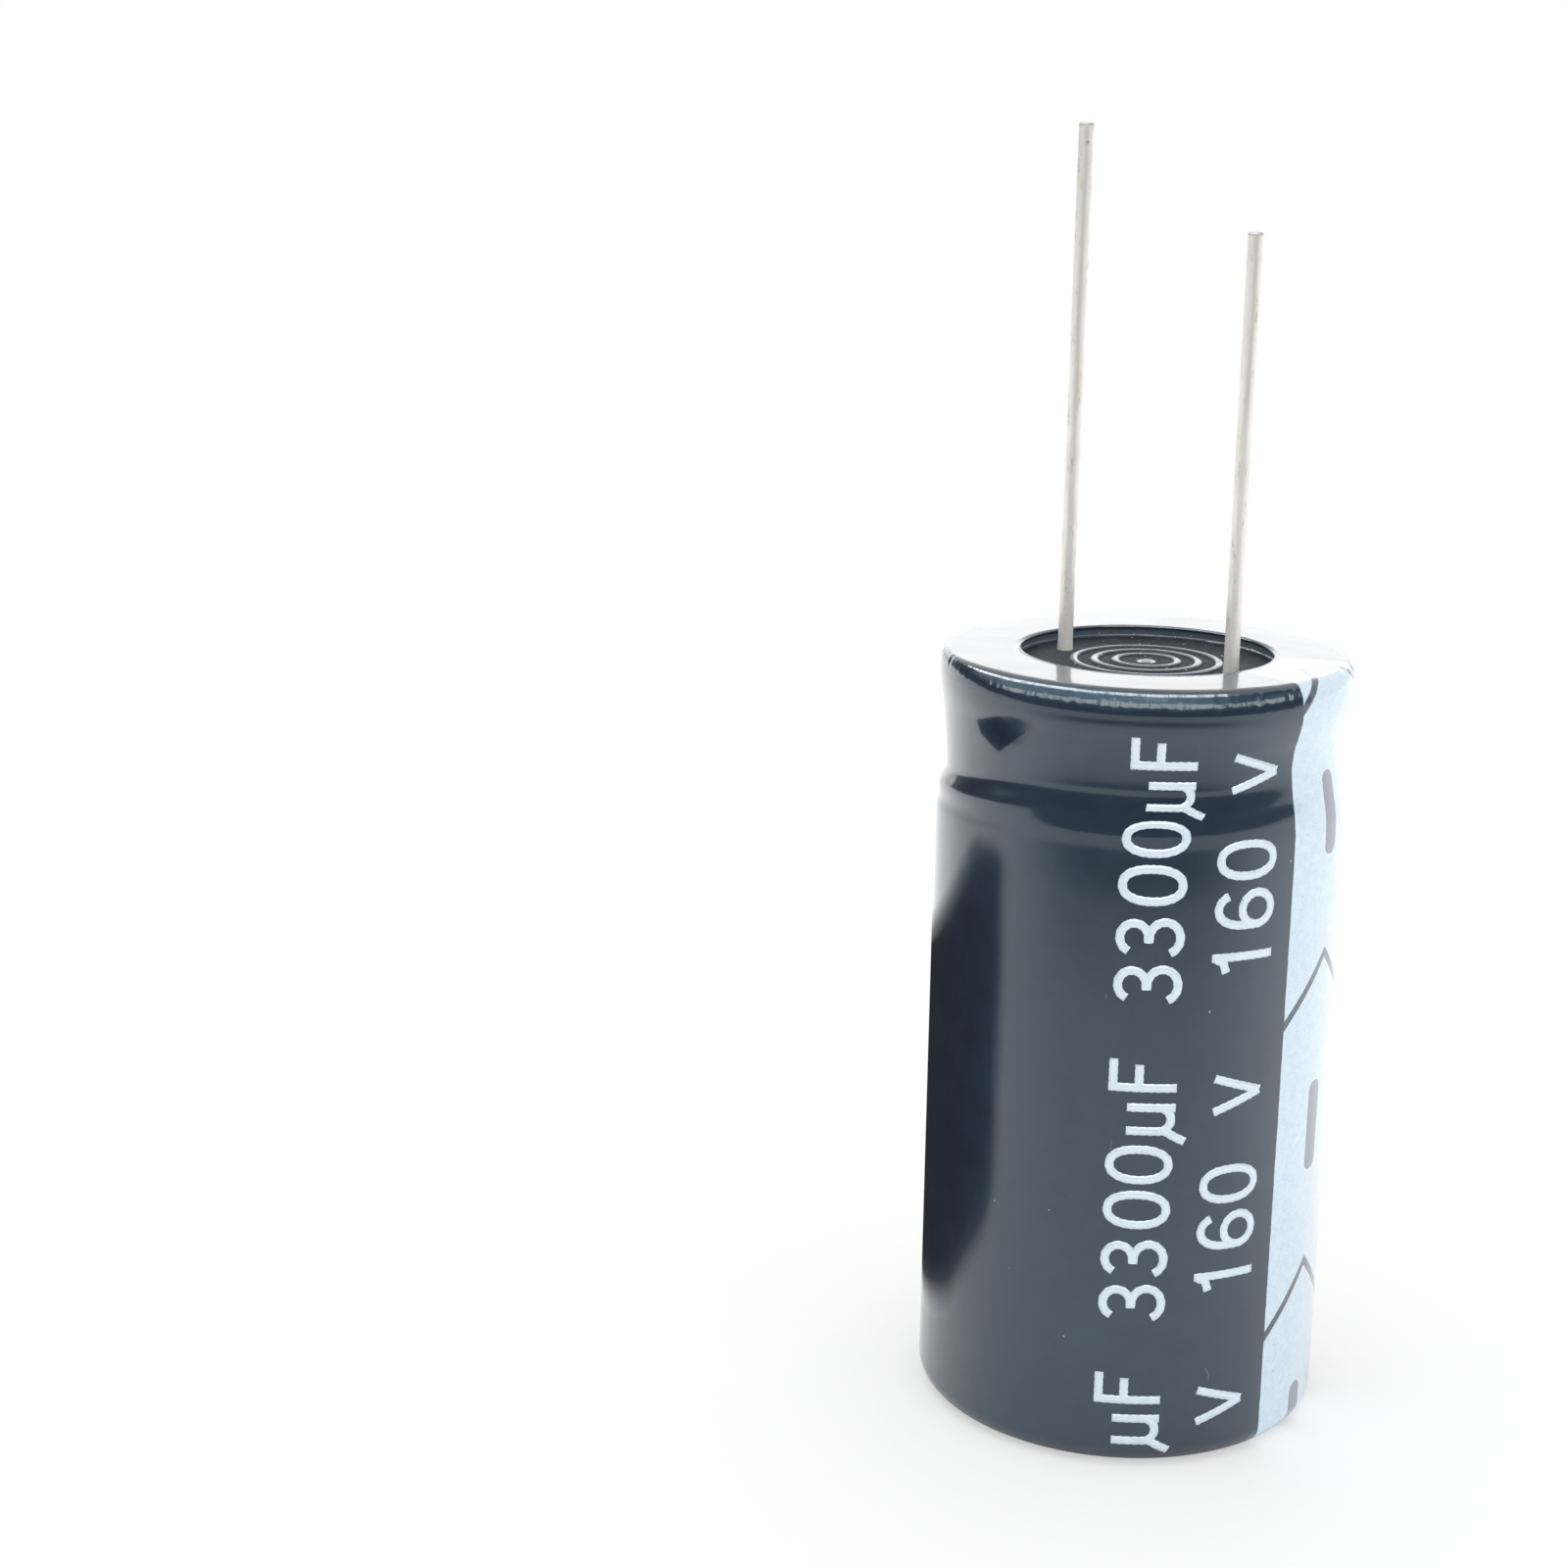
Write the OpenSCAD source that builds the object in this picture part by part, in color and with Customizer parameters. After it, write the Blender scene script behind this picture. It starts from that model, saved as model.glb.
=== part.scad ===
// Radial aluminium electrolytic capacitor, standing on its vent end with its two leads up.
// The origin is the middle of the foot that it stands on. +Z runs along the can to the leads,
// and the leads stand on the X axis: the longer positive one at -X, the negative one at +X.

/* [Case] */
// Diameter over the sleeve
case_d = 22; // [20:0.5:30]
// Height over the sleeve, without the leads
case_h = 42; // [36:0.5:60]

/* [Aluminium can] */
// Thickness of the drawn wall
can_wall = 0.4; // [0.3:0.02:0.5]
// Thickness of the flat vent end
vent_t = 0.5; // [0.4:0.05:0.8]
// Outside radius of the corner round the vent end
corner_r = 0.95; // [0.8:0.05:1.6]
// How far the rolled bead goes in from the wall
bead_depth = 1.45; // [1.1:0.05:1.8]
// Radius of the bead's own arc
bead_r = 1.3; // [1.1:0.05:1.6]
// Radius of the wall's bends into the bead
bend_r = 0.6; // [0.55:0.05:0.8]
// Middle of the bead, down from the top of the can
bead_down = 5.5; // [5:0.1:6.5]
// How much narrower the neck above the bead is than the wall, on the radius
neck_step = 0.55; // [0.5:0.05:0.8]
// Outside radius of the curl at the rim
curl_r = 1.1; // [0.9:0.05:1.3]
// How far inside the wall's radius the curl's outside lies
curl_tuck = 0.05; // [0:0.01:0.15]
// Length of the straight edge that the curl presses into the rubber
curl_edge = 0.7; // [0.4:0.1:1]

/* [Vent score] */
// Length of each arm of the cross, from end to end
score_l = 13; // [8:0.5:15]
// Width of the score at the surface
score_w = 0.4; // [0.2:0.05:0.6]
// Depth of the score
score_depth = 0.2; // [0.1:0.02:0.3]

/* [Sleeve] */
// Thickness of the shrunk film
film_t = 0.15; // [0.1:0.01:0.25]
// Width of the lip over the rubber, from the sleeve's outside to the lip's hole
lip_w = 4.3; // [4:0.1:4.6]
// Width of the ring over the vent end, from the sleeve's outside to the ring's hole
ring_w = 2.8; // [2:0.1:4]
// How far inside the sleeve's outside the waist lies, where the film bridges the bead
waist_depth = 0.55; // [0.35:0.05:0.6]
// Height of the waist above the middle of the bead
waist_up = 0.65; // [0.3:0.05:0.9]

/* [Rubber bung] */
// Height of the bung from its underside to its ribbed face
bung_h = 7.4; // [6.8:0.1:8]
// Drop from the lip's top to the ribbed face
face_drop = 0.65; // [0.5:0.05:1]
// Width of the raised border round the ribbed face
border_w = 1.6; // [1.4:0.05:1.9]
// Fillet between the ribbed face and the border
face_fillet = 0.15; // [0.05:0.05:0.3]
// Number of round ribs about the middle dot
rib_count = 3; // [1:1:3]
// Distance from one rib to the next
rib_pitch = 1.1; // [0.9:0.05:1.2]
// Radius of the middle dot
dot_r = 0.55; // [0.3:0.05:0.6]
// Width of a rib at its foot
rib_w = 0.62; // [0.3:0.02:0.7]
// Height of a rib
rib_h = 0.13; // [0.05:0.01:0.2]

/* [Leads] */
// Distance between the two leads' axes
lead_pitch = 10; // [9.5:0.1:10.5]
// Diameter of the tinned wire
lead_d = 0.8; // [0.6:0.05:1]
// Length of the positive lead above the ribbed face
positive_l = 27.8; // [15:0.1:40]
// Length of the negative lead above the ribbed face
negative_l = 22.6; // [10:0.1:35]
// Diameter of the weld at the wire's foot
weld_d = 1.3; // [1.1:0.05:1.6]
// Height of the weld
weld_h = 0.5; // [0.3:0.05:0.8]
// How much thicker than the wire its root in the rubber is, on the radius
root_swell = 0.03; // [0.02:0.01:0.05]
// Height over which the root tapers to the wire, above the ribbed face
root_h = 0.6; // [0.55:0.05:1]
// Length of the break-in bevel at a lead's cut tip
tip_bevel = 0.08; // [0.02:0.02:0.2]

/* [Tabs] */
// Diameter of the aluminium stem that the bung seals on
stem_d = 2.3; // [2:0.1:2.6]
// Rubber left above the stem and its weld
seal_web = 1.7; // [1.2:0.1:2.2]
// How far the round stem reaches below the bung
stem_below = 0.4; // [0.2:0.1:0.6]
// Length over which the stem is pressed flat
press_l = 1.6; // [1.2:0.1:2]
// Width of the flat blade
blade_w = 3; // [2.4:0.1:3.4]
// Thickness of the flat blade
blade_t = 0.35; // [0.25:0.05:0.5]
// Length of the flat blade
blade_l = 24; // [16:0.5:26]

/* [Wound element] */
// Space between the bung's underside and the roll
roll_drop = 2.8; // [2.6:0.1:4]
// Space between the roll and the bend of the can's inside corner, on the radius
roll_space = 0.05; // [0.02:0.01:0.3]
// Hole that the winding mandrel leaves
mandrel_d = 3.4; // [2.5:0.1:4.5]
// Turns that show as a spiral on each end
turns = 7; // [4:1:8]
// Depth of the spiral between the turns
turn_depth = 0.9; // [0.4:0.1:1.2]
// Width of the open track between two turns
turn_gap = 0.3; // [0.2:0.05:0.4]
// Width of the closing tape
tape_w = 18; // [10:1:22]
// Thickness of the closing tape
tape_t = 0.08; // [0.05:0.01:0.12]
// Angle over which the tape's ends overlap
tape_lap = 35; // [15:5:60]

/* [Fits] */
// Between the film and the can
film_gap = 0.02; // [0.01:0.01:0.05]
// Between the rubber and the can
bung_gap = 0.02; // [0.01:0.01:0.05]
// Between the rubber and a wire or a stem
seal_gap = 0.02; // [0.01:0.01:0.05]
// Between a blade and the turns on either side
blade_gap = 0.05; // [0.02:0.01:0.1]
// Between the roll and its tape
tape_gap = 0.02; // [0.01:0.01:0.05]

/* [Hidden] */
$fn = 96;

// Anything longer than the part, for cutting
far = 2 * case_h;

// Can
foot_z = film_t + film_gap;
can_r = case_d / 2 - film_t - film_gap;
can_top = case_h - film_t - film_gap;
neck_r = can_r - neck_step;
bead_z = can_top - bead_down;
bead_x = can_r - bead_depth + bead_r;
curl_x = can_r - curl_tuck - curl_r;
curl_z = can_top - curl_r;
// The neck ends inside the curl's thickness, halfway between where its two faces meet the curl
neck_top = curl_z - (sqrt(pow(curl_r, 2) - pow(neck_r - curl_x, 2))
                     + sqrt(pow(curl_r - can_wall, 2) - pow(neck_r - can_wall - curl_x, 2))) / 2;
floor_z = foot_z + vent_t;

// Sleeve
rim_r = curl_r + film_gap + film_t;
waist_r = case_d / 2 - waist_depth;
waist_z = bead_z + waist_up;

// Bung
face_z = case_h - face_drop;
bung_z = face_z - bung_h;
border_r = curl_x - curl_r - bung_gap;
face_r = border_r - border_w;

// Leads and tabs
lead_x = lead_pitch / 2;
root_d = lead_d + 2 * root_swell;
step_z = face_z - seal_web;
stem_top = step_z - weld_h - seal_gap;
stem_end = bung_z - stem_below;
blade_top = stem_end - press_l;

// Roll
roll_r = can_r - corner_r - roll_space;
roll_top = bung_z - roll_drop;
tape_z = (floor_z + roll_top - tape_w) / 2;
steps = 32;

// Height from the middle of an arc to the middle of the bend that it runs into
function rise(arc_r, arc_x, bend_r, bend_x) =
    sqrt(pow(arc_r + bend_r, 2) - pow(arc_x - bend_x, 2));

// Radius of the arc that starts level at the waist and ends tangent to a round edge
function bridge_r(side, height, edge_r) =
    (pow(side, 2) + pow(height, 2) - pow(edge_r, 2)) / (2 * (edge_r - side));

wall_bend_x = can_r - bend_r;
neck_bend_x = neck_r - bend_r;
wall_bend_z = bead_z - rise(bead_r, bead_x, bend_r, wall_bend_x);
neck_bend_z = bead_z + rise(bead_r, bead_x, bend_r, neck_bend_x);
ridge_r = bend_r + film_gap + film_t;
lower_bridge = bridge_r(waist_r - wall_bend_x, waist_z - wall_bend_z, ridge_r);
upper_bridge = bridge_r(waist_r - curl_x, curl_z - waist_z, rim_r);

// Half of a groove in a section: a concave arc about [arc_x, mid_z] runs into the round edge
// about [edge_x, edge_z]. grow moves the whole outline inwards.
module groove_half(mid_z, arc_x, arc_r, edge_x, edge_z, edge_r, grow) {
    up = sign(edge_z - mid_z);
    difference() {
        union() {
            intersection() {
                translate([arc_x, mid_z]) circle(arc_r + grow);
                translate([0, up > 0 ? mid_z : mid_z - far]) square(far);
            }
            polygon([[arc_x, mid_z], [edge_x, edge_z], [far, edge_z], [far, mid_z]]);
        }
        translate([edge_x, edge_z]) circle(edge_r - grow);
    }
}

// A straight-sided section with one round corner at its foot
module cup_section(r, low, high, round_r) {
    translate([0, low + round_r]) square([r, high - low - round_r]);
    translate([0, low]) square([r - round_r, 2 * round_r]);
    translate([r - round_r, low + round_r]) circle(round_r);
}

// The can's outline up to the foot of its curl, moved inwards by inset
module can_outline(inset, low) {
    difference() {
        union() {
            cup_section(can_r - inset, low, bead_z, corner_r - inset);
            translate([0, bead_z]) square([neck_r - inset, neck_top - bead_z]);
        }
        groove_half(bead_z, bead_x, bead_r, wall_bend_x, wall_bend_z, bend_r, inset);
        groove_half(bead_z, bead_x, bead_r, neck_bend_x, neck_bend_z, bend_r, inset);
    }
}

// The curl: over the top, back down inside, and a straight edge that bites into the rubber
module curl_section() {
    translate([curl_x, curl_z]) difference() {
        circle(curl_r);
        circle(curl_r - can_wall);
        translate([-far, -far]) square([far + neck_r - can_wall - curl_x, far]);
    }
    translate([curl_x - curl_r, curl_z - curl_edge]) square([can_wall, curl_edge]);
}

module score_arm() {
    translate([-score_l / 2, 0, foot_z]) rotate([90, 0, 90])
        linear_extrude(score_l)
            polygon([[-score_w / 2, -score_w], [-score_w / 2, 0], [0, score_depth],
                     [score_w / 2, 0], [score_w / 2, -score_w]]);
}

module aluminium_can() {
    color("gainsboro") difference() {
        rotate_extrude() {
            difference() {
                can_outline(0, foot_z);
                can_outline(can_wall, floor_z);
            }
            curl_section();
        }
        score_arm();
        rotate(90) score_arm();
    }
}

// The film's outline: round foot, wall, ridge over the bead's edge, bridged waist and rim
module film_outline(inset) {
    cup_section(case_d / 2 - inset, inset, wall_bend_z, corner_r + film_gap + film_t - inset);
    translate([wall_bend_x, wall_bend_z]) circle(ridge_r - inset);
    difference() {
        translate([0, wall_bend_z]) square([case_d / 2, curl_z - wall_bend_z]);
        groove_half(waist_z, waist_r + lower_bridge, lower_bridge,
                    wall_bend_x, wall_bend_z, ridge_r, inset);
        groove_half(waist_z, waist_r + upper_bridge, upper_bridge,
                    curl_x, curl_z, rim_r, inset);
    }
    translate([curl_x, curl_z]) circle(rim_r - inset);
    translate([0, curl_z]) square([curl_x, rim_r - inset]);
}

module shrink_sleeve() {
    color([0.12, 0.15, 0.18]) rotate_extrude() difference() {
        film_outline(0);
        film_outline(film_t);
        square([case_d / 2 - ring_w, case_h / 2]);
        translate([0, case_h / 2]) square([case_d / 2 - lip_w, case_h]);
    }
}

// A low rib on the bung's face, round on top
module rib_section(x) {
    arc_r = (pow(rib_w / 2, 2) + pow(rib_h, 2)) / (2 * rib_h);
    translate([x, face_z]) intersection() {
        translate([0, rib_h - arc_r]) circle(arc_r);
        translate([-rib_w, -rib_h]) square([2 * rib_w, 3 * rib_h]);
    }
}

// The rubber's outline: it fills the can from its underside up into the curl, takes the curl's
// edge in a slot, and stands up inside the curl as a border that the film's lip rests on
module bung_outline() {
    inset = can_wall + bung_gap;
    difference() {
        union() {
            intersection() {
                can_outline(inset, floor_z);
                translate([0, bung_z]) square([far, curl_z - bung_z]);
            }
            translate([0, neck_bend_z]) square([neck_r - inset, curl_z - neck_bend_z]);
            translate([curl_x, curl_z]) circle(curl_r - inset);
            translate([0, neck_bend_z]) square([border_r, can_top - neck_bend_z]);
        }
        translate([border_r, curl_z - curl_edge - bung_gap])
            square([can_wall + 2 * bung_gap, far]);
        translate([0, face_z]) face_recess();
    }
}

// The sunk face, with a fillet at the foot of its border
module face_recess() {
    translate([0, face_fillet]) square([face_r, face_drop]);
    square([face_r - face_fillet, face_drop]);
    translate([face_r - face_fillet, face_fillet]) circle(face_fillet);
}

// The hole for one lead: narrow round the wire, wide round the stem and the weld
module lead_hole(x) {
    translate([x, 0, step_z - seal_gap]) cylinder(d = root_d + 2 * seal_gap, h = far);
    translate([x, 0, bung_z - seal_gap])
        cylinder(d = stem_d + 2 * seal_gap, h = step_z - bung_z + seal_gap);
}

module rubber_bung() {
    color([0.1, 0.11, 0.13]) difference() {
        rotate_extrude() {
            bung_outline();
            intersection() {
                union() {
                    rib_section(0);
                    for (i = [1 : rib_count]) rib_section(dot_r + i * rib_pitch);
                }
                square([face_r, far]);
            }
        }
        for (side = [-1, 1]) lead_hole(side * lead_x);
    }
}

// A tinned wire welded on its stem: weld, root, free shank and cut tip
module lead_wire(x, length) {
    root_z = stem_top + weld_h;
    translate([x, 0, stem_top]) cylinder(d1 = weld_d, d2 = root_d, h = weld_h);
    translate([x, 0, root_z]) cylinder(d = root_d, h = face_z - root_z);
    translate([x, 0, face_z]) {
        cylinder(d1 = root_d, d2 = lead_d, h = root_h);
        translate([0, 0, root_h]) cylinder(d = lead_d, h = length - root_h - tip_bevel);
        translate([0, 0, length - tip_bevel])
            cylinder(d1 = lead_d, d2 = lead_d - 2 * tip_bevel, h = tip_bevel);
    }
}

module positive_lead_wire() {
    color("silver") lead_wire(-lead_x, positive_l);
}

module negative_lead_wire() {
    color("silver") lead_wire(lead_x, negative_l);
}

// A stem whose lower end is pressed flat into the blade that goes between the turns
module tab(x) {
    sliver = 0.01;
    translate([x, 0, stem_end]) cylinder(d = stem_d, h = stem_top - stem_end);
    hull() {
        translate([x, 0, stem_end]) cylinder(d = stem_d, h = sliver, $fn = 32);
        translate([x - blade_t / 2, -blade_w / 2, blade_top])
            cube([blade_t, blade_w, sliver]);
    }
    translate([x - blade_t / 2, -blade_w / 2, blade_top - blade_l])
        cube([blade_t, blade_w, blade_l + sliver / 2]);
}

module positive_tab() {
    color("lightgray") tab(-lead_x);
}

module negative_tab() {
    color("lightgray") tab(lead_x);
}

// The open track between the turns, as one spiral band from the mandrel hole to the outside
module spiral_track() {
    inner = mandrel_d / 2 + turn_gap;
    pitch = (roll_r - inner) / turns;
    last = (turns - 1) * steps;
    function at(i, side) = let (a = 360 * i / steps, r = inner + pitch * i / steps + side)
        [r * cos(a), r * sin(a)];
    polygon([for (i = [0 : last]) at(i, -turn_gap / 2),
             for (i = [last : -1 : 0]) at(i, turn_gap / 2)]);
}

module wound_element() {
    color("burlywood") difference() {
        translate([0, 0, floor_z]) cylinder(r = roll_r, h = roll_top - floor_z);
        translate([0, 0, floor_z - 1]) cylinder(d = mandrel_d, h = roll_top - floor_z + 2);
        translate([0, 0, roll_top - turn_depth]) linear_extrude(2 * turn_depth) spiral_track();
        translate([0, 0, floor_z - turn_depth]) linear_extrude(2 * turn_depth) spiral_track();
        for (side = [-1, 1])
            translate([side * lead_x - blade_t / 2 - blade_gap, -blade_w / 2 - blade_gap,
                       blade_top - blade_l - blade_gap])
                cube([blade_t + 2 * blade_gap, blade_w + 2 * blade_gap, far]);
    }
}

module closing_tape() {
    inner = roll_r + tape_gap;
    color("goldenrod") translate([0, 0, tape_z]) {
        rotate_extrude() translate([inner, 0]) square([tape_t, tape_w]);
        rotate_extrude(angle = tape_lap)
            translate([inner + tape_t / 2, 0]) square([1.5 * tape_t, tape_w]);
    }
}

aluminium_can();
shrink_sleeve();
rubber_bung();
positive_lead_wire();
negative_lead_wire();
positive_tab();
negative_tab();
wound_element();
closing_tape();
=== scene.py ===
import math

import bpy
import numpy as np
from mathutils import Matrix, Vector


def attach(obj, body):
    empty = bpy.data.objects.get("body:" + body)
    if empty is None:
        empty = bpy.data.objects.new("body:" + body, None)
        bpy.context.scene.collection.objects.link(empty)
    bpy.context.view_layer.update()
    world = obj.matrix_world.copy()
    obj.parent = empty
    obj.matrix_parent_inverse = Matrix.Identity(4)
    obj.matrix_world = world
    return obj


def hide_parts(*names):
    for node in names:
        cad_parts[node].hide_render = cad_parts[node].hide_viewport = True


# The looks of a radial electrolytic capacitor that stands on its vent end with its leads up.
# Lengths are in millimetres and angles in degrees, up to the calls that hand them to Blender.

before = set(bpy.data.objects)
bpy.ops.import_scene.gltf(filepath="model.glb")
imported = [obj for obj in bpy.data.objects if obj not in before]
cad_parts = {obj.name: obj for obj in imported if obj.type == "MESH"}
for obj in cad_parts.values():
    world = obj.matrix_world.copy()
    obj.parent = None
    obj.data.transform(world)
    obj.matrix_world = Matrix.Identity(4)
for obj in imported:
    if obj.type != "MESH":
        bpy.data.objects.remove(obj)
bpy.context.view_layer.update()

MM = 0.001
DEG = math.pi / 180
TINY = 1e-12

# The camera, fitted to the photograph
CAMERA_AT = (66.27, -123.09, 69.60)
CAMERA_TURN, CAMERA_TILT, CAMERA_ROLL = 36.195, 75.70, 0.833
LENS, SENSOR = 60.80, 36.0
CLIP_START, CLIP_END = 5, 20000

# Where the camera stands seen from the rim: its azimuth, its angle above it, the rim's height
CAMERA_SIDE, CAMERA_ABOVE_RIM, RIM_HEIGHT = -61.7, 11.5, 41.5

# The studio's lamps: place, target, width and height, radiance, and whether gloss shows them
LAMPS = {
    "overhead": ((-60, 60, 420), (0, 0, 20), (360, 360), 1.1, False),
    "behind": ((-330, 450, 150), (0, 0, 40), (760, 150), 0.85, True),
    "right": ((420, -60, 200), (0, 0, 20), (220, 220), 1.0, False),
}
WORLD_LIGHT = 0.85

# The floor: half its width, and how far it lies below the foot
FLOOR_HALF, FLOOR_DROP = 3000, 0.02

# How far from the object the floor turns to plain white for the camera, how white it is there
# already, and how far from it mirrors see plain white
WHITE_FOR_CAMERA, WHITE_AT_FOOT, WHITE_FOR_MIRRORS = (14, 90), 0.5, (22, 60)

# What the film mirrors of the floor: its brightness at the sides and towards the camera, where
# that turn lies, and the darker ring in front, with its inner and outer edge
FLOOR_SIDES, FLOOR_AHEAD, AHEAD = 1.35, 1.02, (0.3, 0.95)
RING_DIM, RING_INNER, RING_OUTER = 0.92, (70, 165), (300, 220)

# The cards that only reflections show: their colours, the side one's faint glow, and the
# brightness that its edges fade to
CARD_BLACK, CARD_GREY = (0, 0, 0, 1), (0.02, 0.02, 0.02, 1)
CARD_GLOW, CARD_WHITE = 0.02, 1.15

# The dark screen behind the camera and round both sides: its azimuths from the camera's, its
# distance and its heights
SCREEN_FROM, SCREEN_TO, SCREEN_AT, SCREEN_LOW, SCREEN_TOP = -134, 100, 450, 45, 520

# The low dark card close to the object's left side: x, y, and the heights of its two edges,
# then the shares of its length and height where it starts to fade: at its end, top and foot
SIDE_FLAG = [(-15.5, 14.0, -0.5, 22.6), (-15.6, 7.0, -0.5, 23.2), (-15.7, 1.2, -0.3, 24.1),
             (-16.0, -5.0, 0.0, 26.0), (-16.5, -9.9, 0.0, 28.2), (-18.4, -14.8, 0.6, 30.0),
             (-17.5, -20.8, 2.6, 29.4), (-15.3, -24.5, 6.0, 27.6)]
FADE_END, FADE_TOP, FADE_LOW = 0.88, 0.93, 0.10

# The dark spot that the film's waist mirrors: its corners, by azimuth and length along the
# film, and how far from the film its card stands
WAIST_SPOT = [(-113.8, 39.98), (-103.5, 40.53), (-94.5, 39.96), (-104.8, 38.53), (-112.5, 39.32)]
WAIST_GAP, WAIST_STEP = 1.8, 0.8

# The bright strips that the rim mirrors: the tilts of the film that they show in, their first
# and last azimuth there, the strength, and the seed of their pieces
STRIPS = {
    "low_strip": ((19.0, 27.0), -104, -20, 4.5, 3),
    "high_strip": ((32.5, 43.0), -117, -40, 12.0, 8),
}
# The strips' distance, then the lengths of their pieces, the gaps and the jitter in degrees
STRIP_AT = 440
STRIP_PIECE, STRIP_SPACE, STRIP_JITTER = (0.8, 4.5), (0.2, 1.6), 1

# The sleeve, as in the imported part: its radius and height, the film's thickness, the round of
# its foot, and the holes in the ring under the foot and in the lip
CASE_R, CASE_H, FILM = 11.0, 42.0, 0.15
FOOT_R, RING_R, LIP_R = 1.12, 8.2, 6.7

# The bends at the rim: how far one reaches, and the most that it takes of a straight part
CORNER_R, CORNER_SHARE = 0.38, 0.45

# Where the film bends at the rim, by azimuth: how far out the flat lip reaches, then
# (radius, height) of the bend below it, and of the two places where it turns to the wall
RIM = {
    -150: (10.72, (10.93, 41.62), (10.98, 40.95), (10.94, 40.35)),
    -128: (10.68, (10.91, 41.58), (10.98, 40.95), (10.95, 40.35)),
    -108: (10.50, (10.90, 41.34), (10.98, 40.90), (10.98, 40.35)),
    -88: (10.46, (10.88, 41.27), (10.98, 40.85), (11.00, 40.35)),
    -36: (10.46, (10.88, 41.27), (10.98, 40.85), (11.00, 40.35)),
    -10: (10.52, (10.89, 41.36), (10.98, 40.85), (11.00, 40.35)),
    30: (10.50, (10.88, 41.47), (10.98, 40.85), (10.99, 40.35)),
    120: (10.45, (10.87, 41.45), (10.98, 40.85), (10.98, 40.35)),
    170: (10.62, (10.90, 41.54), (10.98, 40.90), (10.96, 40.35)),
}

# The film over the bead, measured in the photograph. Each line is one azimuth: how high the
# film leaves the wall, then (radius, height) of the lower fold, the lower crease, the upper
# fold, the waist and two places between the waist and the rim.
NECK = {
    -150: (33.0, (10.98, 33.4), (10.87, 33.95), (10.88, 34.5), (10.50, 35.5), (10.57, 36.8), (10.72, 38.6)),
    -126: (33.0, (10.98, 33.5), (10.87, 34.15), (10.90, 34.8), (10.48, 36.0), (10.55, 37.4), (10.72, 38.9)),
    -106: (32.4, (10.97, 33.6), (10.87, 34.35), (10.86, 35.1), (10.46, 36.5), (10.54, 37.9), (10.72, 39.1)),
    -88: (31.2, (10.95, 33.5), (10.88, 34.4), (10.70, 35.5), (10.45, 36.9), (10.54, 38.1), (10.74, 39.2)),
    -61: (31.0, (10.95, 33.4), (10.88, 34.4), (10.68, 35.5), (10.45, 37.0), (10.54, 38.1), (10.74, 39.2)),
    -36: (31.4, (10.95, 33.6), (10.88, 34.5), (10.69, 35.6), (10.45, 37.0), (10.54, 38.1), (10.75, 39.2)),
    -15: (32.2, (10.98, 33.9), (10.88, 34.9), (10.66, 36.0), (10.46, 37.5), (10.52, 38.3), (10.79, 39.3)),
    20: (33.2, (10.98, 34.2), (10.88, 34.9), (10.67, 36.0), (10.46, 37.3), (10.53, 38.2), (10.77, 39.2)),
    75: (33.0, (10.98, 34.1), (10.88, 34.7), (10.72, 35.7), (10.47, 36.9), (10.55, 38.0), (10.74, 39.2)),
    120: (33.0, (10.97, 33.9), (10.88, 34.6), (10.76, 35.5), (10.49, 36.6), (10.56, 37.8), (10.73, 39.0)),
    165: (32.8, (10.96, 33.6), (10.88, 34.2), (10.91, 34.7), (10.50, 35.9), (10.57, 37.1), (10.73, 38.7)),
}

# The film's mesh: columns round it, and rows along the ring under the foot, the foot's corner,
# the wall, the neck, each bend at the rim and the lip. The inside keeps every sixth row.
COLUMNS = 560
RING_ROWS, FOOT_ROWS, WALL_ROWS, NECK_ROWS, BEND_ROWS, LIP_ROWS = 4, 10, 21, 65, 12, 11
INNER_STEP = 6

# The waves of the shrunk film: how many to a turn, their size, and the seed of their phases
PLEATS = (range(61, 150, 7), 0.011, 5)
SWAY = (range(5, 40, 4), 0.004, 7)

# How much of the sway goes outward, how far the rim's bend stays inside the case, and how
# far the lip dips at its hole
SWAY_OUTWARD, RIM_INSET, LIP_DIP = 0.4, 0.01, 0.02

# The print: lengths along the film's outline from the foot, and round it from +X. It repeats
# every PERIOD. The neck draws it together by SHRINK_BY and turns it by TWIST.
PERIOD = 17.5
STRIPE_MID, STRIPE_HALF = 0.60, 3.53
CHEVRON_MID, CHEVRON_TIP, CHEVRON_SLOPE, CHEVRON_HALF = 0.67, 9.7, 0.919, 0.21
SHRINK_AT, SHRINK_TO, SHRINK_BY, TWIST = 33.6, 37.6, 0.6, 1.7
BAR_MID, BAR_AT, BAR_HALF_W, BAR_HALF_L, BAR_ROUND = 0.52, 17.57, 0.65, 2.5, 0.55
PRINT_SOFT = 0.03

# The ink's strokes: their width, its unevenness, the step between points, the turn of that
# unevenness from point to point and its start by place. Then how high the ink stands on the
# film, how deep it goes in, and how high its edges are against its middle.
STROKE, RAGGED, STROKE_STEP = 0.45, 0.07, 0.16
RAGGED_TURN, RAGGED_SHIFT = 2.399, 31
INK_T, INK_SUNK, INK_EDGE = 0.012, 0.03, 0.6
SIGN_H = 3.5

# The rows of print: the azimuth, the place where a row ends, and each sign with its start.
# The lowest sign starts above PRINT_FROM.
PRINT_ROWS = {
    "value": (-48.0, 39.0, [("3", 8.35), ("3", 10.85), ("0", 13.55), ("0", 16.05),
                            ("mu", 18.75), ("F", 21.1)]),
    "volts": (-22.0, 38.5, [("1", 9.6), ("6", 12.15), ("0", 14.75), ("V", 19.7)]),
}
PRINT_FROM = 0.6

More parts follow.
